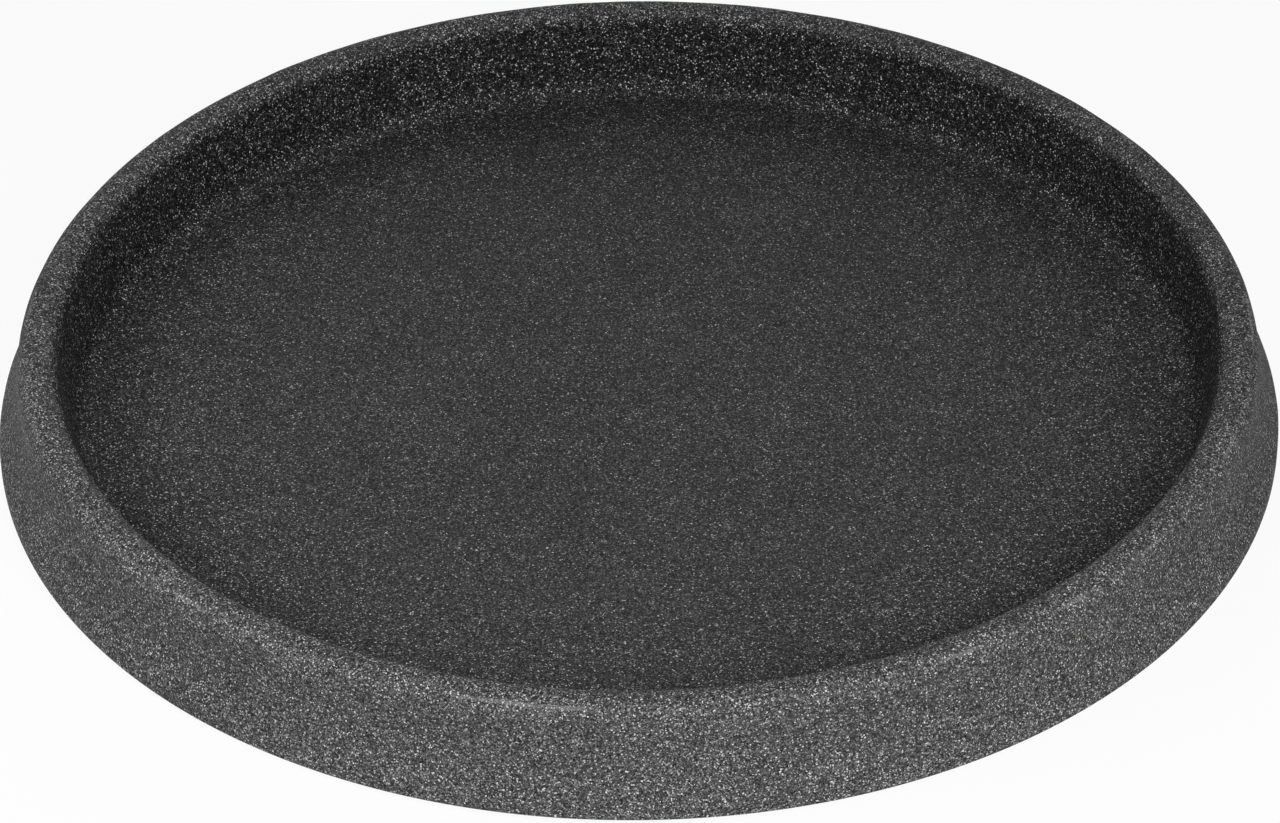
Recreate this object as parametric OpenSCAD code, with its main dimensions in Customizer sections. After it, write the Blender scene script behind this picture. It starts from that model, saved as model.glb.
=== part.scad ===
// Round plant saucer, rotationally moulded in one piece: a dish with a flat floor, a hollow rim
// with a rounded lip, and a skirt that sweeps out to a wider foot. A plug closes the moulding
// vent under the rim, and non-slip pads are set into the base ring. The saucer stands on its
// pads, with +Z up along its axis and the origin on the ground.

/* [Saucer] */
// Diameter over the foot, the widest part
base_d = 400; // [300:1:500]
// Height of the moulding, from its base ring to the top of the lip
saucer_h = 34.5; // [28:0.1:60]
// Thickness of the skin round the hollow rim
skin_t = 3; // [2:0.1:3.5]

/* [Dish] */
// Thickness of the dish floor
floor_t = 5; // [3:0.1:8]
// Height of the recess under the floor
floor_lift = 1.8; // [0.5:0.1:4]
// Radius where the floor turns up into the inner wall
floor_fillet = 8; // [3:0.5:14]
// Lean of the inner wall from upright, in degrees
wall_draft = 13; // [3:0.5:25]

/* [Lip and skirt] */
// Width of the fully rounded lip
lip_w = 13; // [10:0.5:20]
// How far the foot reaches out past the lip
skirt_flare = 7.5; // [2:0.5:20]
// Radius of the skirt's hollow sweep, seen in section
skirt_r = 60; // [30:1:200]
// Radius of the foot where it turns in to the skirt
foot_r = 4; // [4:0.5:10]
// Radius of the bottom edge
edge_r = 1.2; // [0.5:0.1:3.5]

/* [Foot pads] */
// Number of pads round the base ring
pad_count = 6; // [3:1:8]
// Diameter of a pad
pad_d = 16; // [10:0.5:18]
// Depth of the pocket that a pad is set in
pad_seat = 2; // [1:0.1:4]
// How far a pad stands out below the base ring
pad_proud = 1; // [0.5:0.1:2]
// Gap between a pad and the side of its pocket
pad_clear = 0.2; // [0.1:0.05:0.5]
// Chamfer round the lower edge of a pad
pad_chamfer = 0.5; // [0.2:0.1:1]

/* [Vent plug] */
// Diameter of the moulding vent
vent_d = 8; // [5:0.5:9]
// Diameter of the plug's head
plug_head_d = 14; // [11:0.5:16]
// Thickness of the plug's head
plug_head_t = 1.2; // [0.8:0.1:2]
// Depth of the head below the face of the base ring
plug_sink = 0.4; // [0.2:0.1:1]
// Reach of the plug's barb past the side of its stem
plug_barb = 0.7; // [0.4:0.1:1.2]
// Length of the plug's barb
plug_barb_l = 3; // [2:0.5:5]
// Gap between the plug and the sides of its hole and seat
plug_clear = 0.1; // [0.05:0.05:0.3]

/* [Hidden] */

// Largest turn between two points of an arc, in degrees
arc_step = 6;
// Overlap that lets a cut pass clean through a face
cut_over = 1;
$fn = 180;

base_r = base_d / 2;
floor_h = floor_lift + floor_t;
lip_r = lip_w / 2;
// Centres of the lip's round and of the foot's round in the section, as [radius, height]
lip_c = [base_r - skirt_flare - lip_r, saucer_h - lip_r];
foot_c = [base_r - foot_r, foot_r];

// The skirt's sweep touches the lip's round and the foot's round from outside
lip_to_foot = foot_c - lip_c;
lip_reach = skirt_r + lip_r;
foot_reach = skirt_r + foot_r;
skirt_turn = acos((pow(norm(lip_to_foot), 2) + pow(lip_reach, 2) - pow(foot_reach, 2))
    / (2 * norm(lip_to_foot) * lip_reach));
// Angles on the two rounds at which the skirt leaves them
lip_leave = atan2(lip_to_foot[1], lip_to_foot[0]) + skirt_turn;
skirt_c = polar(lip_c, lip_reach, lip_leave);
foot_leave = atan2(skirt_c[1] - foot_c[1], skirt_c[0] - foot_c[0]);

// Radius at which the leaning inner wall meets the floor, before the fillet
wall_top = polar(lip_c, lip_r, 180 - wall_draft);
floor_edge_r = wall_top[0] - (wall_top[1] - floor_h) * tan(wall_draft);
fillet_c = [wall_r(floor_h + floor_fillet) - floor_fillet / cos(wall_draft), floor_h + floor_fillet];

// The base ring lies under the hollow rim, and the pads and the vent share its middle circle
ring_in_r = wall_r(0);
ring_mid_r = (ring_in_r + base_r - edge_r) / 2;
vent_angle = 180 / pad_count;
vent_seat = plug_sink + plug_head_t;
pad_pocket_d = pad_d + 2 * pad_clear;
plug_seat_d = plug_head_d + 2 * plug_clear;

function pad_name(i) = str("foot_pad_", i);
function pad_angle(i) = (i - 1) * 360 / pad_count;
function polar(c, r, a) = [c[0] + r * cos(a), c[1] + r * sin(a)];
function arc_count(from, to) = ceil(abs(to - from) / arc_step);
function arc(c, r, from, to, skip = 0) =
    let (n = arc_count(from, to))
    [for (i = [skip : n - skip]) polar(c, r, from + (to - from) * i / n)];
// Radius of the inner wall's face at height z
function wall_r(z) = floor_edge_r + (z - floor_h) * tan(wall_draft);

// Section of the moulding's outside, with the hollow rim filled in
module outer_section() {
    polygon(concat(
        [[0, floor_lift], [ring_in_r, floor_lift], [ring_in_r, 0]],
        arc([base_r - edge_r, edge_r], edge_r, 270, 360),
        arc(foot_c, foot_r, 0, foot_leave),
        arc(skirt_c, skirt_r, foot_leave + 180, lip_leave + 180, skip = 1),
        arc(lip_c, lip_r, lip_leave, 180 - wall_draft),
        arc(fillet_c, floor_fillet, 360 - wall_draft, 270),
        [[0, floor_h]]));
}

// Section of the closed hollow in the rim, one skin inside the outer section
module hollow_section() {
    polygon(concat(
        [[wall_r(skin_t) + skin_t / cos(wall_draft), skin_t], [base_r - skin_t, skin_t]],
        arc(foot_c, foot_r - skin_t, 0, foot_leave),
        arc(skirt_c, skirt_r + skin_t, foot_leave + 180, lip_leave + 180, skip = 1),
        arc(lip_c, lip_r - skin_t, lip_leave, 180 - wall_draft)));
}

// Places its children on the middle circle of the base ring
module on_ring(angle) {
    rotate([0, 0, angle]) translate([ring_mid_r, 0, pad_proud]) children();
}

module on_pad_seats() {
    for (i = [1 : pad_count]) on_ring(pad_angle(i)) children();
}

// Moulded pad of material over a seat, as deep as the seat plus one skin
module seat_boss(seat_d, seat_depth) {
    cylinder(d = seat_d + 2 * skin_t, h = seat_depth + skin_t);
}

module seat_cut(seat_d, seat_depth) {
    translate([0, 0, -cut_over]) cylinder(d = seat_d, h = seat_depth + cut_over);
}

module rim_hollow() {
    difference() {
        translate([0, 0, pad_proud]) rotate_extrude() hollow_section();
        on_pad_seats() seat_boss(pad_pocket_d, pad_seat);
        on_ring(vent_angle) seat_boss(plug_seat_d, vent_seat);
    }
}

module saucer_shell() {
    color("#3d3d3e") difference() {
        translate([0, 0, pad_proud]) rotate_extrude() outer_section();
        rim_hollow();
        on_pad_seats() seat_cut(pad_pocket_d, pad_seat);
        on_ring(vent_angle) seat_cut(plug_seat_d, vent_seat);
        on_ring(vent_angle) cylinder(d = vent_d, h = vent_seat + skin_t + cut_over);
    }
}

// Push-in plug: a flat head in its seat, a stem through the skin and a tapered barb inside the rim
module vent_plug() {
    stem_r = vent_d / 2 - plug_clear;
    barb_r = stem_r + plug_clear + plug_barb;
    head_r = plug_head_d / 2;
    skin_top = vent_seat + skin_t;
    color("#2a2a2b") on_ring(vent_angle) rotate_extrude() polygon([
        [0, plug_sink], [head_r, plug_sink], [head_r, vent_seat], [stem_r, vent_seat],
        [stem_r, skin_top], [barb_r, skin_top], [stem_r - plug_barb, skin_top + plug_barb_l],
        [0, skin_top + plug_barb_l]]);
}

// Round non-slip pad, set against the top of its pocket
module foot_pad(i) {
    pad_r = pad_d / 2;
    color("#1d1d1e") on_ring(pad_angle(i)) rotate_extrude() polygon([
        [0, -pad_proud], [pad_r - pad_chamfer, -pad_proud], [pad_r, pad_chamfer - pad_proud],
        [pad_r, pad_seat], [0, pad_seat]]);
}

saucer_shell();
vent_plug();
for (i = [1 : pad_count]) foot_pad(i);
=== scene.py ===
"""Looks of a round plant saucer in granite-effect plastic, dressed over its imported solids.

The saucer is a body of revolution about +Z. Lengths are in metres, angles in radians, and the origin is on
the ground under the middle of the dish. A section is an array of points, each a radius and a height.
"""

import math

import bmesh
import bpy
import numpy as np
from bpy.props import FloatProperty, FloatVectorProperty, IntProperty, PointerProperty
from mathutils import Matrix, Vector


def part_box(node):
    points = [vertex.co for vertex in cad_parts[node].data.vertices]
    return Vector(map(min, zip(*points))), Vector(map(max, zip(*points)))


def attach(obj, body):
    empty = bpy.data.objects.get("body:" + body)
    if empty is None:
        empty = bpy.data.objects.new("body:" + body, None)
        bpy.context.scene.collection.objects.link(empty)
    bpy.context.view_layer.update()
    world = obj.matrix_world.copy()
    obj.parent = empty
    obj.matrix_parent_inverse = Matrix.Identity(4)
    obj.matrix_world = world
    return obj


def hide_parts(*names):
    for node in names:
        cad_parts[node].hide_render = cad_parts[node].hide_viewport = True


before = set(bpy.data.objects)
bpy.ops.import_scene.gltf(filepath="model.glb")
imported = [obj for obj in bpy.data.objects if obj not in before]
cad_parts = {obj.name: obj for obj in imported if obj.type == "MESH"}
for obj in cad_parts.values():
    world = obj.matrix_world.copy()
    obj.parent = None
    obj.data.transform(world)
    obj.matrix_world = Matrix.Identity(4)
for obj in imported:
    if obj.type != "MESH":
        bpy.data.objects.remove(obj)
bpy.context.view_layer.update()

bl_info = {
    "name": "Granite-effect plant saucer",
    "version": (1, 0, 0),
    "blender": (4, 5, 0),
    "location": "View3D > Sidebar > Saucer",
    "description": "Moulds, plugs and pads a round plant saucer, and lays a stage for it",
    "category": "Add Mesh",
}

MM = 0.001
TURN = 2 * math.pi
QUARTER = TURN / 4
# Points that lie closer than this are one point
SAME_POINT = 1e-7
# Faces that turn by more than this meet in a crease
CREASE = math.radians(35)
# Angle up from level, on the lip's round, at which the halves of the mould part
PARTING_TURN = math.radians(50)
# Seeds of the moulding's waves and of its parting line
WAVE_SEED = 11
PARTING_SEED = 5
# Steps round a cutter, the plug and a pad
CUTTER_STEPS = 64
PLUG_STEPS = 96
PAD_STEPS = 72


def node_box(name):
    """Lowest and highest corner of a CAD node."""
    low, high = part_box(name)
    return np.array(low), np.array(high)


BODY = "root"
SHELL = "saucer_shell"
PLUG = "vent_plug"
PADS = sorted(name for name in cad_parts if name.startswith("foot_pad_"))
SHELL_LOW, SHELL_HIGH = node_box(SHELL)
PLUG_LOW, PLUG_HIGH = node_box(PLUG)
PAD_LOW, PAD_HIGH = node_box(PADS[0])


def linear(hex_colour):
    """Linear RGB of an sRGB hex colour: the standard sRGB curve, undone for each channel."""
    codes = np.array([int(hex_colour[i:i + 2], 16) for i in (1, 3, 5)]) / 255
    steep = ((codes + 0.055) / 1.055) ** 2.4
    return tuple(float(value) for value in np.where(codes <= 0.04045, codes / 12.92, steep))


def length(name, description, default):
    """A length property in metres."""
    return FloatProperty(
        name=name, description=description, default=default, min=0, precision=5, unit="LENGTH")


def angle(name, description, degrees):
    """An angle property, given in degrees and kept in radians."""
    return FloatProperty(
        name=name, description=description, default=math.radians(degrees), unit="ROTATION")


def watts(name, description, default):
    """A power property in watts."""
    return FloatProperty(name=name, description=description, default=default, min=0, subtype="POWER")


def tint(name, description, hex_colour):
    """A colour property, given as sRGB hex and kept linear."""
    return FloatVectorProperty(
        name=name, description=description, default=linear(hex_colour),
        size=3, min=0, max=1, subtype="COLOR")


class SaucerSizes(bpy.types.PropertyGroup):
    """Sizes of the moulding, its plug and its pads."""

    base_d: length("Base diameter", "Diameter over the foot", SHELL_HIGH[0] - SHELL_LOW[0])
    height: length("Height", "From the base ring to the top of the lip", SHELL_HIGH[2] - SHELL_LOW[2])
    lip_w: length("Lip width", "Width of the fully rounded lip", 13 * MM)
    skirt_flare: length("Skirt flare", "How far the foot reaches out past the lip", 7.5 * MM)
    skirt_r: length("Skirt sweep", "Radius of the skirt's hollow sweep", 60 * MM)
    foot_r: length("Foot radius", "Radius where the foot turns in to the skirt", 4 * MM)
    edge_r: length("Edge radius", "Radius of the bottom edge", 1.2 * MM)
    floor_h: length("Floor height", "Height of the dish floor over the base ring", 6.8 * MM)
    floor_lift: length("Floor recess", "Height of the recess under the floor", 1.8 * MM)
    floor_fillet: length("Floor fillet", "Radius where the floor turns up into the wall", 8 * MM)
    wall_draft: angle("Wall lean", "Lean of the inner wall from upright", 13)
    recess_r: length("Recess corner", "Radius of the corners round the recess", 0.8 * MM)
    unevenness: FloatProperty(
        name="Unevenness", description="Typical slope of the soft waves left by moulding",
        default=0.012, min=0)
    parting_h: length("Parting line", "Height of the faint parting line along the lip", 0.14 * MM)
    pocket_gap: length("Pocket gap", "Gap between a pad and the side of its pocket", 0.2 * MM)
    plug_gap: length("Plug gap", "Gap between the plug and the sides of its hole and seat", 0.1 * MM)
    plug_head_t: length("Plug head", "Thickness of the plug's head", 1.2 * MM)
    plug_barb: length("Plug barb", "Reach of the plug's barb past the side of the vent", 0.7 * MM)
    vent_d: length("Vent", "Diameter of the moulding vent", 8 * MM)
    skin_t: length("Skin", "Thickness of the skin that the plug's stem passes", 3 * MM)
    groove_count: IntProperty(name="Pad grooves", description="Grip grooves under a pad", default=3, min=1)
    groove_depth: length("Groove depth", "Depth of the grip grooves under a pad", 0.3 * MM)
    segments: IntProperty(name="Segments", description="Steps round the saucer", default=480, min=60)


class SaucerFinish(bpy.types.PropertyGroup):
    """Colours and grain of the finishes."""

    charcoal: tint("Charcoal", "Near-black of the darkest grains", "#030303")
    speck: tint("Speck", "White of the palest grains", "#e6e6e6")
    plug: tint("Plug", "Black of the plug", "#232324")
    rubber: tint("Rubber", "Black of the pads", "#1a1a1b")
    dust: tint("Dust", "Grey dust in the pads' texture", "#4a4a49")
    powder: length("Powder", "Width of the powder grains that the skin is melted from", 0.36 * MM)
    speck_gap: length("Speck spacing", "Spacing of the larger white grains", 1.6 * MM)


class SaucerStage(bpy.types.PropertyGroup):
    """Camera, light and floor."""

    lens: FloatProperty(
        name="Lens", description="Focal length in millimetres", default=135, subtype="DISTANCE_CAMERA")
    elevation: angle("Elevation", "Height of the camera above the horizon", 36.027)
    roll: angle("Roll", "Turn of the camera about its line of sight", -0.712)
    distance: length("Distance", "From the camera to the middle of the base", 1.5123)
    ground: tint("Floor", "Pale matt paper under the saucer", "#f4f4f3")
    room: FloatProperty(
        name="Room", description="Brightness of the room round the stage", default=0.02, min=0)
    key: watts("Key softbox", "Power of the softbox in front, on the right", 5.8)
    near: watts("Near softbox", "Power of the small softbox close to the left of the dish", 0.9)
    back: watts("Back softbox", "Power of the large softbox behind", 8.5)


def middle(low, high):
    """Middle of a box, seen from above."""
    return (low[:2] + high[:2]) / 2


def arc(centre, radius, start, end, spacing):
    """Section points round a circle: the centre plus the radius along evenly spaced angles."""
    count = max(2, math.ceil(abs(end - start) * radius / spacing) + 1)
    turn = np.linspace(start, end, count)
    return np.column_stack((centre[0] + radius * np.cos(turn), centre[1] + radius * np.sin(turn)))


def line(start, end, spacing):
    """Section points from start to end, evenly spaced on a straight line."""
    count = max(2, math.ceil(math.dist(start, end) / spacing) + 1)
    return np.linspace(start, end, count)


def joined(runs):
    """Runs of section points end to end, less each point that repeats the one before it."""
    points = np.concatenate(runs)
    step = np.hypot(*np.diff(points, axis=0).T)
    return points[np.concatenate(([True], step > SAME_POINT))]


def section_normals(points):
    """Outward directions of a section that runs from the bottom outwards and up: its slope, turned to the
    right and made one long."""
    along = np.gradient(points, axis=0)
    out = np.column_stack((along[:, 1], -along[:, 0]))
    return out / np.hypot(*out.T)[:, None]


def carried_round(points, centre, segments):
    """Carries a section round an upright axis: x = cx + r cos a, y = cy + r sin a and z = h, for each of
    the steps a. Gives an array of section point by step by coordinate."""
    turn = np.arange(segments) * (TURN / segments)
    radius, height = points[:, :1], points[:, 1:]
    x = centre[0] + radius * np.cos(turn)
    y = centre[1] + radius * np.sin(turn)
    return np.stack((x, y, np.broadcast_to(height, x.shape)), axis=-1)


def piece_from_rings(name, rings, material):
    """A closed mesh from rings of points that start and end on the axis: four-sided faces between
    neighbouring rings, and a fan of triangles round each of the two end points."""
    count, segments = rings.shape[:2]
    between = rings[1:-1].reshape(-1, 3)
    points = np.concatenate((between, rings[:1, 0], rings[-1:, 0]))
    here = np.arange(segments)
    after = np.roll(here, -1)
    base = (np.arange(count - 3) * segments)[:, None]
    sides = np.stack((base + here, base + after, base + after + segments, base + here + segments), axis=-1)
    last = (count - 3) * segments
    low = np.column_stack((np.full(segments, len(between)), after, here))
    high = np.column_stack((np.full(segments, len(between) + 1), last + here, last + after))
    mesh = bpy.data.meshes.new(name)
    mesh.from_pydata(points.tolist(), [], sides.reshape(-1, 4).tolist() + low.tolist() + high.tolist())
    mesh.polygons.foreach_set("use_smooth", np.ones(len(mesh.polygons), dtype=bool))
    mesh.set_sharp_from_angle(angle=CREASE)
    mesh.update()
    piece = bpy.data.objects.new(name, mesh)
    if material:
        mesh.materials.append(material)
    bpy.context.scene.collection.objects.link(piece)
    return piece


def cut_away(piece, cutters):
    """Takes the cutters out of a piece, applies the cut to its mesh, welds the points that the cut leaves on
    top of each other, and removes the cutters."""
    for cutter in cutters:
        cut = piece.modifiers.new(cutter.name, "BOOLEAN")
        cut.operation = "DIFFERENCE"
        cut.solver = "EXACT"
        cut.object = cutter
    ready = piece.evaluated_get(bpy.context.evaluated_depsgraph_get())
    mesh = bpy.data.meshes.new_from_object(ready)
    weld = bmesh.new()
    weld.from_mesh(mesh)
    bmesh.ops.remove_doubles(weld, verts=weld.verts, dist=SAME_POINT)
    weld.to_mesh(mesh)
    weld.free()
    old = piece.data
    name = old.name
    piece.modifiers.clear()
    piece.data = mesh
    bpy.data.meshes.remove(old)
    mesh.name = name
    for cutter in cutters:
        bpy.data.meshes.remove(cutter.data)
    if not mesh.polygons:
        raise RuntimeError(f"the cut left nothing of {piece.name}")


def settle(piece, node):
    """Puts a piece in the place of a CAD node: it rides on the body, and the node is hidden."""
    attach(piece, BODY)
    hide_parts(node)


def add(tree, kind, inputs=None, stops=(), **settings):
    """Adds a node with its settings, and its inputs by name or number: a socket is linked, a value is set.
    The stops of a colour ramp are pairs of a place from 0 to 1 and a linear colour."""
    node = tree.nodes.new(kind)
    for name, value in settings.items():
        setattr(node, name, value)
    for _ in stops[2:]:
        node.color_ramp.elements.new(1.0)
    for i, (place, colour) in enumerate(stops):
        node.color_ramp.elements[i].position = place
        node.color_ramp.elements[i].color = (*colour, 1)
    for key, value in (inputs or {}).items():
        if isinstance(value, bpy.types.NodeSocket):
            tree.links.new(value, node.inputs[key])
        else:
            node.inputs[key].default_value = value
    return node


def new_material(name):
    """A material with an empty node tree and its output. Gives the material, the tree and the output."""
    material = bpy.data.materials.new(name)
    material.use_nodes = True
    tree = material.node_tree
    tree.nodes.clear()
    return material, tree, add(tree, "ShaderNodeOutputMaterial")


def per_metre(size):
    """Texture scale whose cells are of a real size in metres."""
    return 1 / size


def grey(value):
    """A linear grey."""
    return (value, value, value)


def granite_polyethylene(finish, wall_r, crest_r, parting_r, skirt_r, foot_r):
    """Polyethylene powder, charcoal with white grains, rotationally moulded.

    Each grain of powder melts where it lies, so the eye sees a fine mosaic of grains from charcoal to white,
    with a few larger white ones, under a dull satin skin. The grey of the grains is set ring by ring, so it
    follows the radius: from where the wall meets the floor, over the lip's crest, to the skirt and the foot.
    These ring greys are painted light and shade on one plastic: the inner wall is the darkest as painted
    shade, the floor darkens towards the wall as painted shade, the fillet carries a lighter painted line,
    the lip's outer shoulder is lighter as a painted highlight, and the lip and the skirt are the palest.
    """
    material, tree, output = new_material("granite_polyethylene_rotomoulded")
    where = add(tree, "ShaderNodeTexCoord")
    place = where.outputs["Object"]
    flat = add(tree, "ShaderNodeVectorMath", {0: place, 1: (1, 1, 0)}, operation="MULTIPLY")
    radius = add(tree, "ShaderNodeVectorMath", {0: flat.outputs[0]}, operation="LENGTH").outputs["Value"]
    ring = add(tree, "ShaderNodeMath", {0: radius, 1: foot_r}, operation="DIVIDE")
    # Faces that look down take the skirt's look, at any radius
    up = add(tree, "ShaderNodeSeparateXYZ", {0: where.outputs["Normal"]}).outputs["Z"]
    under = add(tree, "ShaderNodeMapRange", {"Value": up, "From Min": -0.3, "From Max": -0.7})
    zone = add(tree, "ShaderNodeMix", {
        "Factor": under.outputs["Result"], 2: ring.outputs[0], 3: skirt_r / foot_r}).outputs[0]
    # The ring greys below are painted light and shade, not a change of plastic
    # Where each zone's look is reached, the grey of its middling grains and the power that spreads its greys
    painted_light_rings = (
        (0.63 * wall_r, 0.059, 0.48),        # floor, in the middle
        (0.83 * wall_r, 0.050, 0.59),        # floor, further out: darker, painted shade
        (wall_r - 8 * MM, 0.029, 0.75),      # floor, at its edge: painted shade by the wall
        (wall_r - 2.5 * MM, 0.032, 0.77),    # fillet: a lighter painted line
        (wall_r + 1 * MM, 0.012, 1.04),      # wall, from its bottom: painted shade
        (crest_r - 6 * MM, 0.013, 1.04),     # wall, to its top: painted shade
        (crest_r - 4.3 * MM, 0.072, 0.67),   # lip, from its inner side
        (crest_r + 0.5 * MM, 0.075, 0.67),   # lip, to its crest
        (crest_r + 4.5 * MM, 0.108, 0.59),   # lip, at its outer shoulder: painted highlight
        (skirt_r + 0.5 * MM, 0.089, 0.55),   # skirt
        (foot_r - 1 * MM, 0.099, 0.58))      # foot
    # Ramps by ring of the painted light and shade greys, and of the powers
    painted_light_greys, powers = (
        add(tree, "ShaderNodeValToRGB", {"Fac": zone}, stops).outputs["Color"] for stops in (
            [(look[0] / foot_r, grey(look[1])) for look in painted_light_rings],
            [(look[0] / foot_r, grey(look[2])) for look in painted_light_rings]))
    # Grains are pushed out of round by a noise
    stir = add(tree, "ShaderNodeTexNoise", {"Vector": place, "Scale": per_metre(0.7 * MM), "Detail": 0.0})
    push = add(tree, "ShaderNodeVectorMath", {0: stir.outputs["Color"], 1: grey(0.5)}, operation="SUBTRACT")
    stirred = add(tree, "ShaderNodeVectorMath", {
        0: push.outputs[0], 1: grey(0.15 * MM), 2: place}, operation="MULTIPLY_ADD").outputs[0]
    # Powder: a grain's grey follows the odds u / (1 - u) of an even draw u, to the zone's power, so most
    # grains are dark and a few are white. The 1 is a hair larger, so that nothing is divided by nought
    powder = add(tree, "ShaderNodeTexVoronoi", {"Vector": stirred, "Scale": per_metre(finish.powder)})
    draw = add(tree, "ShaderNodeSeparateColor", {0: powder.outputs["Color"]}).outputs[0]
    rest = add(tree, "ShaderNodeMath", {0: 1.001, 1: draw}, operation="SUBTRACT")
    odds = add(tree, "ShaderNodeMath", {0: draw, 1: rest.outputs[0]}, operation="DIVIDE")
    spread = add(tree, "ShaderNodeMath", {0: odds.outputs[0], 1: powers}, operation="POWER")
    grain = add(tree, "ShaderNodeMath", {0: spread.outputs[0], 1: painted_light_greys}, operation="MULTIPLY")
    # Specks: larger white grains here and there, each a soft round spot with its own reach and whiteness
    speck = add(tree, "ShaderNodeTexVoronoi", {"Vector": stirred, "Scale": per_metre(finish.speck_gap)})
    toss = add(tree, "ShaderNodeSeparateColor", {0: speck.outputs["Color"]})
    reach = add(tree, "ShaderNodeMapRange", {"Value": toss.outputs[1], "To Min": 0.1, "To Max": 0.22})
    away = add(tree, "ShaderNodeMath", {
        0: speck.outputs["Distance"], 1: reach.outputs["Result"]}, operation="DIVIDE")
    spot = add(tree, "ShaderNodeMapRange", {
        "Value": away.outputs[0], "From Min": 0.6, "From Max": 1.0, "To Min": 0.6, "To Max": 0.0},
        interpolation_type="SMOOTHSTEP")
    white = add(tree, "ShaderNodeMath", {0: toss.outputs[0], 1: 4.0}, operation="POWER")
    lit = add(tree, "ShaderNodeMath", {
        0: spot.outputs["Result"], 1: white.outputs[0], 2: grain.outputs[0]}, operation="MULTIPLY_ADD")
    # Mottling: the white gathers a little more in some places than in others
    cloud = add(tree, "ShaderNodeTexNoise", {"Vector": place, "Scale": per_metre(30 * MM), "Detail": 3.0})
    mottle = add(tree, "ShaderNodeMapRange", {
        "Value": cloud.outputs["Fac"], "From Min": 0.25, "From Max": 0.75, "To Min": 0.9, "To Max": 1.1})
    # Wear and painted glint: the parting line is paler for 0.45 mm on either side, in short broken lengths
    # The pale line is partly chafing and partly a painted glint of light along the lip
    on_line = add(tree, "ShaderNodeMath", {0: radius, 1: parting_r, 2: 0.45 * MM}, operation="COMPARE")
    chafe_and_glint = add(tree, "ShaderNodeTexNoise", {"Vector": place, "Scale": per_metre(22 * MM), "Detail": 4.0})
    wear_and_glint = add(tree, "ShaderNodeMapRange", {
        "Value": chafe_and_glint.outputs["Fac"], "From Min": 0.52, "From Max": 0.68, "To Max": 0.12})
    with_wear_and_glint = add(tree, "ShaderNodeMath", {
        0: on_line.outputs[0], 1: wear_and_glint.outputs["Result"], 2: lit.outputs[0]}, operation="MULTIPLY_ADD")
    share = add(tree, "ShaderNodeMath", {
        0: with_wear_and_glint.outputs[0], 1: mottle.outputs["Result"]}, operation="MULTIPLY", use_clamp=True)
    colour = add(tree, "ShaderNodeMix", {
        "Factor": share.outputs[0], 6: (*finish.charcoal, 1), 7: (*finish.speck, 1)}, data_type="RGBA")
    # Faint pebbling of the skin, about 3 mm across and a few hundredths of a millimetre high
    pebble = add(tree, "ShaderNodeTexNoise", {"Vector": place, "Scale": per_metre(3 * MM), "Detail": 2.0})
    relief = add(tree, "ShaderNodeBump", {
        "Strength": 1.0, "Distance": 0.03 * MM, "Height": pebble.outputs["Fac"]})
    satin = add(tree, "ShaderNodeMapRange", {"Value": pebble.outputs["Fac"], "To Min": 0.65, "To Max": 0.79})
    skin = add(tree, "ShaderNodeBsdfPrincipled", {
        "Base Color": colour.outputs[2], "Roughness": satin.outputs["Result"], "IOR": 1.5,
        "Specular IOR Level": 0.1, "Normal": relief.outputs["Normal"]})
    tree.links.new(skin.outputs["BSDF"], output.inputs["Surface"])
    return material


def plug_polyethylene(finish):
    """Plain black polyethylene, injection moulded: a smoother satin than the saucer's, with faint flow
    marks and the fine spark texture of the mould."""
    material, tree, output = new_material("plug_polyethylene_injection_moulded")
    place = add(tree, "ShaderNodeTexCoord").outputs["Object"]
    flow = add(tree, "ShaderNodeTexNoise", {"Vector": place, "Scale": per_metre(4 * MM), "Detail": 3.0})
    shade = add(tree, "ShaderNodeMapRange", {"Value": flow.outputs["Fac"], "To Min": 0.0, "To Max": 0.02})
    colour = add(tree, "ShaderNodeMix", {
        "Factor": shade.outputs["Result"], 6: (*finish.plug, 1), 7: (*finish.speck, 1)}, data_type="RGBA")
    satin = add(tree, "ShaderNodeMapRange", {"Value": flow.outputs["Fac"], "To Min": 0.36, "To Max": 0.5})
    spark = add(tree, "ShaderNodeTexNoise", {"Vector": place, "Scale": per_metre(0.25 * MM), "Detail": 1.0})
    relief = add(tree, "ShaderNodeBump", {
        "Strength": 0.6, "Distance": 0.01 * MM, "Height": spark.outputs["Fac"]})
    skin = add(tree, "ShaderNodeBsdfPrincipled", {
        "Base Color": colour.outputs[2], "Roughness": satin.outputs["Result"], "IOR": 1.5,
        "Normal": relief.outputs["Normal"]})
    tree.links.new(skin.outputs["BSDF"], output.inputs["Surface"])
    return material


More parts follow.
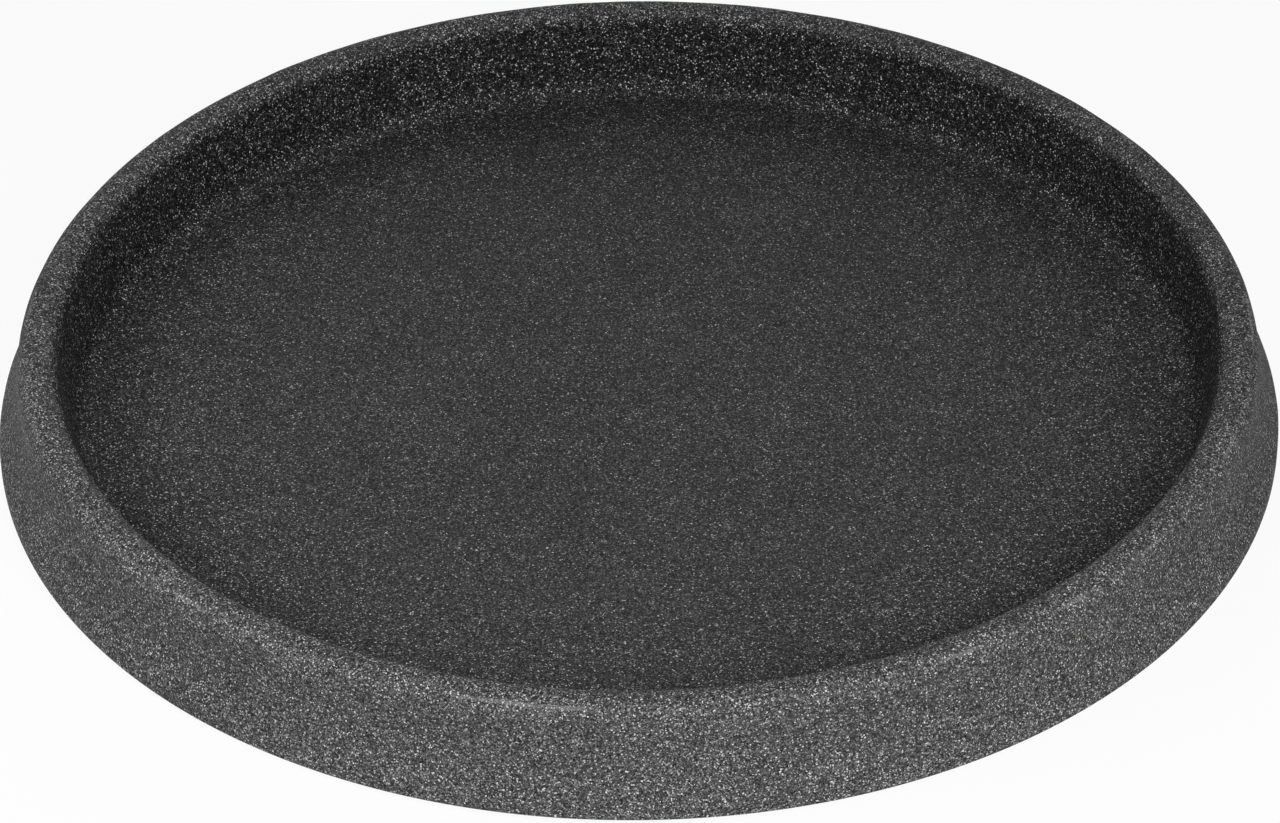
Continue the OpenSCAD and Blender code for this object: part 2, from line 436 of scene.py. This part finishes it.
def pad_rubber(finish):
    """Black rubber, compression moulded: matt, with a fine sand-blasted texture that holds a little grey
    dust in patches."""
    material, tree, output = new_material("pad_rubber_moulded")
    place = add(tree, "ShaderNodeTexCoord").outputs["Object"]
    grit = add(tree, "ShaderNodeTexNoise", {"Vector": place, "Scale": per_metre(0.3 * MM), "Detail": 2.0})
    patch = add(tree, "ShaderNodeTexNoise", {"Vector": place, "Scale": per_metre(5 * MM), "Detail": 3.0})
    dusty = add(tree, "ShaderNodeMath", {
        0: grit.outputs["Fac"], 1: patch.outputs["Fac"]}, operation="MULTIPLY")
    held = add(tree, "ShaderNodeMapRange", {
        "Value": dusty.outputs[0], "From Min": 0.2, "From Max": 0.45, "To Max": 0.5})
    colour = add(tree, "ShaderNodeMix", {
        "Factor": held.outputs["Result"], 6: (*finish.rubber, 1), 7: (*finish.dust, 1)}, data_type="RGBA")
    matt = add(tree, "ShaderNodeMapRange", {"Value": grit.outputs["Fac"], "To Min": 0.72, "To Max": 0.92})
    relief = add(tree, "ShaderNodeBump", {
        "Strength": 0.8, "Distance": 0.02 * MM, "Height": grit.outputs["Fac"]})
    skin = add(tree, "ShaderNodeBsdfPrincipled", {
        "Base Color": colour.outputs[2], "Roughness": matt.outputs["Result"], "IOR": 1.52,
        "Normal": relief.outputs["Normal"]})
    tree.links.new(skin.outputs["BSDF"], output.inputs["Surface"])
    return material


def shell_section(sizes):
    """Section of the moulding: under the floor, round the recess, along the base ring, up the foot, in along
    the hollow skirt, over the round lip, down the leaning wall and in along the floor.

    The skirt's circle touches the lip's circle and the foot's circle from outside, so its centre is at the
    corner of a triangle whose sides are the distance between those two centres and the sums of the radii.
    Gives the points, the lip's centre and the radius at which the wall meets the floor.
    """
    base_r, lip_r = sizes.base_d / 2, sizes.lip_w / 2
    lip_c = np.array((base_r - sizes.skirt_flare - lip_r, sizes.height - lip_r))
    foot_c = np.array((base_r - sizes.foot_r, sizes.foot_r))
    apart = foot_c - lip_c
    gap = math.hypot(*apart)
    lip_reach, foot_reach = sizes.skirt_r + lip_r, sizes.skirt_r + sizes.foot_r
    corner = math.acos((gap ** 2 + lip_reach ** 2 - foot_reach ** 2) / (2 * gap * lip_reach))
    lip_leave = math.atan2(apart[1], apart[0]) + corner
    skirt_c = lip_c + lip_reach * np.array((math.cos(lip_leave), math.sin(lip_leave)))
    foot_leave = math.atan2(*(skirt_c - foot_c)[::-1])
    lean = sizes.wall_draft
    wall_top = lip_c + lip_r * np.array((-math.cos(lean), math.sin(lean)))
    wall_r = wall_top[0] - (wall_top[1] - sizes.floor_h) * math.tan(lean)
    fillet = sizes.floor_fillet
    fillet_c = (wall_r + fillet * math.tan(lean) - fillet / math.cos(lean), sizes.floor_h + fillet)
    ring_r = wall_r - sizes.floor_h * math.tan(lean)
    soft = sizes.recess_r
    # Each run ends with the spacing of its points
    points = joined((
        line((0, sizes.floor_lift), (ring_r - soft, sizes.floor_lift), 9 * MM),
        arc((ring_r - soft, sizes.floor_lift - soft), soft, QUARTER, 0, 0.25 * MM),
        arc((ring_r + soft, soft), soft, math.pi, 3 * QUARTER, 0.25 * MM),
        line((ring_r + soft, 0), (base_r - sizes.edge_r, 0), 4 * MM),
        arc((base_r - sizes.edge_r, sizes.edge_r), sizes.edge_r, -QUARTER, 0, 0.3 * MM),
        arc(foot_c, sizes.foot_r, 0, foot_leave, 0.4 * MM),
        arc(skirt_c, sizes.skirt_r, foot_leave + math.pi, lip_leave + math.pi, 0.7 * MM),
        arc(lip_c, lip_r, lip_leave, math.pi - lean, 0.33 * MM),
        arc(fillet_c, fillet, -lean, -QUARTER, 0.6 * MM),
        line((fillet_c[0], sizes.floor_h), (0, sizes.floor_h), 5 * MM)))
    return points, lip_c, wall_r


def moulding_waves(places, slope):
    """Soft unevenness of a rotationally moulded skin: a sum of plane waves in seeded random directions, each
    with the height that gives it its share of the slope, lowered so that the highest point is at nought."""
    rng = np.random.default_rng(WAVE_SEED)
    waves = np.geomspace(10 * MM, 36 * MM, 10)
    heading = rng.normal(size=(len(waves), 3))
    heading /= np.linalg.norm(heading, axis=1)[:, None]
    start = rng.uniform(0, TURN, len(waves))
    rise = slope * waves / (TURN * math.sqrt(len(waves)))
    height = np.sin(places @ (heading * (TURN / waves)[:, None]).T + start) @ rise
    return height - height.max()


def parting_line(points, lip_c, lip_r, segments, height):
    """Faint parting line along the lip, halfway over to the skirt: a narrow bell across the section, with a
    height that comes and goes round the saucer as a sum of slow sines, and is nought in between."""
    bell_w, gain = 0.4 * MM, 2.5
    spot = lip_c + lip_r * np.array((math.cos(PARTING_TURN), math.sin(PARTING_TURN)))
    across = np.exp(-0.5 * (np.hypot(*(points - spot).T) / bell_w) ** 2)
    turn = np.arange(segments) * (TURN / segments)
    rng = np.random.default_rng(PARTING_SEED)
    beats = np.array((7, 13, 22, 37))
    swell = np.sin(beats[:, None] * turn + rng.uniform(0, TURN, (len(beats), 1))).mean(axis=0)
    return height * across[:, None] * np.clip(gain * swell, 0, 1)


def seat_cutters(sizes):
    """Turned cutters for the base ring: a plain pocket for each pad, and a stepped hole for the plug. They
    start below the ring, and the hole clears the plug's barb at its side and its end."""
    below = SHELL_LOW[2] - 2 * MM
    barb_gap, end_gap = 0.3 * MM, 0.5 * MM
    cutters = []
    for name in PADS:
        low, high = node_box(name)
        pocket_r = (high[0] - low[0]) / 2 + sizes.pocket_gap
        pocket = np.array(((0, below), (pocket_r, below), (pocket_r, high[2]), (0, high[2])))
        rings = carried_round(pocket, middle(low, high), CUTTER_STEPS)
        cutters.append(piece_from_rings("pocket", rings, None))
    seat_r = (PLUG_HIGH[0] - PLUG_LOW[0]) / 2 + sizes.plug_gap
    seat_top = PLUG_LOW[2] + sizes.plug_head_t
    bore_r = sizes.vent_d / 2 + sizes.plug_barb + barb_gap
    bore_top = PLUG_HIGH[2] + end_gap
    seat = np.array((
        (0, below), (seat_r, below), (seat_r, seat_top),
        (bore_r, seat_top), (bore_r, bore_top), (0, bore_top)))
    rings = carried_round(seat, middle(PLUG_LOW, PLUG_HIGH), CUTTER_STEPS)
    cutters.append(piece_from_rings("vent_seat", rings, None))
    return cutters


class SAUCER_OT_mould_shell(bpy.types.Operator):
    """Makes the one-piece saucer, with the pockets and the vent seat in its base ring"""

    bl_idname = "saucer.mould_shell"
    bl_label = "Mould the shell"

    def execute(self, context):
        sizes, finish = context.scene.saucer_sizes, context.scene.saucer_finish
        points, lip_c, wall_r = shell_section(sizes)
        lip_r, foot_r = sizes.lip_w / 2, sizes.base_d / 2
        rings = carried_round(points, (0, 0), sizes.segments)
        out = section_normals(points)
        # The waves fade as a face turns down: the underside is flat, for the pads and the plug set in it
        loose = np.clip(1 + 2 * out[:, 1], 0, 1)[:, None]
        shift = loose * moulding_waves(rings, sizes.unevenness)
        shift += parting_line(points, lip_c, lip_r, sizes.segments, sizes.parting_h)
        rings = rings + shift[..., None] * carried_round(out, (0, 0), sizes.segments)
        rings[0], rings[-1] = rings[0].mean(axis=0), rings[-1].mean(axis=0)
        rings[..., 2] += SHELL_LOW[2]
        parting_r, skirt_r = lip_c[0] + lip_r * math.cos(PARTING_TURN), lip_c[0] + lip_r
        granite = granite_polyethylene(finish, wall_r, lip_c[0], parting_r, skirt_r, foot_r)
        shell = piece_from_rings("shell", rings, granite)
        cut_away(shell, seat_cutters(sizes))
        settle(shell, SHELL)
        return {"FINISHED"}


class SAUCER_OT_fit_plug(bpy.types.Operator):
    """Makes the push-in plug of the moulding vent"""

    bl_idname = "saucer.fit_plug"
    bl_label = "Fit the vent plug"

    def execute(self, context):
        sizes, finish = context.scene.saucer_sizes, context.scene.saucer_finish
        low, high = PLUG_LOW[2], PLUG_HIGH[2]
        head_r = (PLUG_HIGH[0] - PLUG_LOW[0]) / 2
        head_top = low + sizes.plug_head_t
        skin_top = head_top + sizes.skin_t
        stem_r = sizes.vent_d / 2 - sizes.plug_gap
        barb_r = sizes.vent_d / 2 + sizes.plug_barb
        tip_r = stem_r - sizes.plug_barb
        edge, spacing = 0.35 * MM, 0.06 * MM
        # A shallow dimple where the plastic was injected, a raised cosine of the radius
        dimple_r, dimple_h, dimple_steps = 1.6 * MM, 0.25 * MM, 9
        dish = np.linspace(0, dimple_r, dimple_steps)
        dimple = np.column_stack((dish, low + dimple_h * (0.5 + 0.5 * np.cos(math.pi * dish / dimple_r))))
        # From the dimple out and round the head, then up the stem and over the barb
        profile = joined((
            dimple,
            arc((head_r - edge, low + edge), edge, -QUARTER, 0, spacing),
            arc((head_r - edge / 2, head_top - edge / 2), edge / 2, 0, QUARTER, spacing),
            np.array((
                (stem_r, head_top), (stem_r, skin_top), (barb_r, skin_top), (tip_r, high), (0, high)))))
        rings = carried_round(profile, middle(PLUG_LOW, PLUG_HIGH), PLUG_STEPS)
        plug = piece_from_rings("plug", rings, plug_polyethylene(finish))
        settle(plug, PLUG)
        return {"FINISHED"}


class SAUCER_OT_set_pads(bpy.types.Operator):
    """Makes the grooved rubber pads in their pockets"""

    bl_idname = "saucer.set_pads"
    bl_label = "Set the foot pads"

    def execute(self, context):
        sizes, finish = context.scene.saucer_sizes, context.scene.saucer_finish
        rubber = pad_rubber(finish)
        pad_r = (PAD_HIGH[0] - PAD_LOW[0]) / 2
        edge, edge_spacing = 0.5 * MM, 0.1 * MM
        # Underside: ring grooves between flat lands. The depth follows minus the cosine of the radius over
        # the pitch, less the land's level and nought below it, so a land lies in the middle and at the edge
        land, under_steps = 0.3, 64
        spread = np.linspace(0, pad_r - edge, under_steps)
        pitch = (pad_r - edge) / sizes.groove_count
        groove = np.clip(-np.cos(TURN * spread / pitch) - land, 0, None) / (1 - land)
        under = np.column_stack((spread, PAD_LOW[2] + sizes.groove_depth * groove))
        profile = joined((
            under,
            arc((pad_r - edge, PAD_LOW[2] + edge), edge, -QUARTER, 0, edge_spacing),
            np.array(((pad_r, PAD_HIGH[2]), (0, PAD_HIGH[2])))))
        for name in PADS:
            rings = carried_round(profile, middle(*node_box(name)), PAD_STEPS)
            pad = piece_from_rings(name.replace("foot_pad", "pad"), rings, rubber)
            settle(pad, name)
        return {"FINISHED"}


def lay_floor(stage):
    """A square of pale matt paper under the saucer, nearly white to the camera and in reflections. The rest
    of its tone is the lit paper, which shows the shadow."""
    half_side, white_share = 8.0, 0.92
    corners = half_side * np.array(((-1, -1, 0), (1, -1, 0), (1, 1, 0), (-1, 1, 0)))
    material, tree, output = new_material("paper_floor_matt")
    place = add(tree, "ShaderNodeTexCoord").outputs["Object"]
    fibre = add(tree, "ShaderNodeTexNoise", {"Vector": place, "Scale": per_metre(40 * MM), "Detail": 2.0})
    tone = add(tree, "ShaderNodeMapRange", {"Value": fibre.outputs["Fac"], "To Min": 0.0, "To Max": 0.04})
    colour = add(tree, "ShaderNodeMix", {
        "Factor": tone.outputs["Result"], 6: (*stage.ground, 1), 7: (1, 1, 1, 1)}, data_type="RGBA")
    paper = add(tree, "ShaderNodeBsdfDiffuse", {"Color": colour.outputs[2]})
    white = add(tree, "ShaderNodeEmission", {"Color": (1, 1, 1, 1), "Strength": 1.0})
    path = add(tree, "ShaderNodeLightPath")
    seen = add(tree, "ShaderNodeMath", {
        0: path.outputs["Is Camera Ray"], 1: path.outputs["Is Glossy Ray"]}, operation="MAXIMUM")
    shown = add(tree, "ShaderNodeMath", {
        0: seen.outputs[0], 1: path.outputs["Is Transmission Ray"]}, operation="MAXIMUM")
    lift = add(tree, "ShaderNodeMath", {0: shown.outputs[0], 1: white_share}, operation="MULTIPLY")
    ground = add(tree, "ShaderNodeMixShader", {
        0: lift.outputs[0], 1: paper.outputs[0], 2: white.outputs[0]})
    tree.links.new(ground.outputs[0], output.inputs["Surface"])
    mesh = bpy.data.meshes.new("floor")
    mesh.from_pydata(corners.tolist(), [], [(0, 1, 2, 3)])
    mesh.materials.append(material)
    floor = bpy.data.objects.new("floor", mesh)
    bpy.context.scene.collection.objects.link(floor)


def light_room(scene, stage):
    """An even grey room round the stage."""
    world = bpy.data.worlds.new("studio")
    scene.world = world
    world.use_nodes = True
    tree = world.node_tree
    tree.nodes.clear()
    room = add(tree, "ShaderNodeBackground", {"Color": (1, 1, 1, 1), "Strength": stage.room})
    output = add(tree, "ShaderNodeOutputWorld")
    tree.links.new(room.outputs[0], output.inputs["Surface"])


def hang_softboxes(scene, stage):
    """Square softboxes that face the middle of the dish: a key in front on the right, a small one close to
    the left of the dish and a large one well behind."""
    # Name, place, side and power of each
    boxes = (
        ("key", (0.26, -0.7, 0.6), 0.45, stage.key),
        ("near", (-0.35, -0.2, 0.35), 0.3, stage.near),
        ("back", (0.0, 1.8, 0.8), 1.0, stage.back))
    for name, place, side, power in boxes:
        light = bpy.data.lights.new(name, "AREA")
        light.shape = "SQUARE"
        light.size = side
        light.energy = power
        lamp = bpy.data.objects.new(name, light)
        lamp.location = place
        lamp.rotation_euler = Vector(place).to_track_quat("Z", "Y").to_euler()
        scene.collection.objects.link(lamp)


def photo_camera(scene, stage):
    """Camera at the front: its line of sight goes down by the elevation, and it is rolled about that line.
    Small offsets along its own sides centre the saucer in the picture as the photograph does."""
    data = bpy.data.cameras.new("camera")
    data.lens = stage.lens
    data.sensor_width = 36
    data.clip_end = 50
    rise, roll = stage.elevation, stage.roll
    sight = np.array((0, math.cos(rise), -math.sin(rise)))
    right = np.array((1, 0, 0))
    down = np.array((0, -math.sin(rise), -math.cos(rise)))
    rolled_right = math.cos(roll) * right - math.sin(roll) * down
    rolled_down = math.sin(roll) * right + math.cos(roll) * down
    offset_right, offset_down = -0.415 * MM, -1.381 * MM
    place = -stage.distance * sight - offset_right * rolled_right - offset_down * rolled_down
    camera = bpy.data.objects.new("camera", data)
    axes = np.eye(4)
    axes[:3, :] = np.column_stack((rolled_right, -rolled_down, -sight, place))
    camera.matrix_world = Matrix(axes.tolist())
    scene.collection.objects.link(camera)
    return camera


class SAUCER_OT_lay_stage(bpy.types.Operator):
    """Lays a pale floor and sets the room, the softboxes and the camera"""

    bl_idname = "saucer.lay_stage"
    bl_label = "Lay the stage"

    def execute(self, context):
        scene, stage = context.scene, context.scene.saucer_stage
        scene.view_settings.view_transform = "Standard"
        lay_floor(stage)
        light_room(scene, stage)
        hang_softboxes(scene, stage)
        scene.camera = photo_camera(scene, stage)
        return {"FINISHED"}


class SAUCER_PT_panel(bpy.types.Panel):
    """Lists the saucer's operators and settings in the sidebar"""

    bl_label = "Plant saucer"
    bl_space_type = "VIEW_3D"
    bl_region_type = "UI"
    bl_category = "Saucer"

    def draw(self, context):
        layout = self.layout
        for operator in OPERATORS:
            layout.operator(operator.bl_idname)
        for group in (context.scene.saucer_sizes, context.scene.saucer_finish, context.scene.saucer_stage):
            box = layout.box()
            for name in group.__annotations__:
                box.prop(group, name)


GROUPS = {"saucer_sizes": SaucerSizes, "saucer_finish": SaucerFinish, "saucer_stage": SaucerStage}
OPERATORS = (SAUCER_OT_lay_stage, SAUCER_OT_mould_shell, SAUCER_OT_fit_plug, SAUCER_OT_set_pads)


def register():
    """Registers the classes, and hangs the settings on the scene."""
    for kind in (*GROUPS.values(), *OPERATORS, SAUCER_PT_panel):
        bpy.utils.register_class(kind)
    for name, group in GROUPS.items():
        setattr(bpy.types.Scene, name, PointerProperty(type=group))


def unregister():
    """Takes the settings off the scene, and unregisters the classes."""
    for name in GROUPS:
        delattr(bpy.types.Scene, name)
    for kind in (SAUCER_PT_panel, *reversed(OPERATORS), *GROUPS.values()):
        bpy.utils.unregister_class(kind)


def main():
    """Registers the add-on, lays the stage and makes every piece."""
    register()
    bpy.ops.saucer.lay_stage()
    bpy.ops.saucer.mould_shell()
    bpy.ops.saucer.fit_plug()
    bpy.ops.saucer.set_pads()


if __name__ == "__main__":
    main()
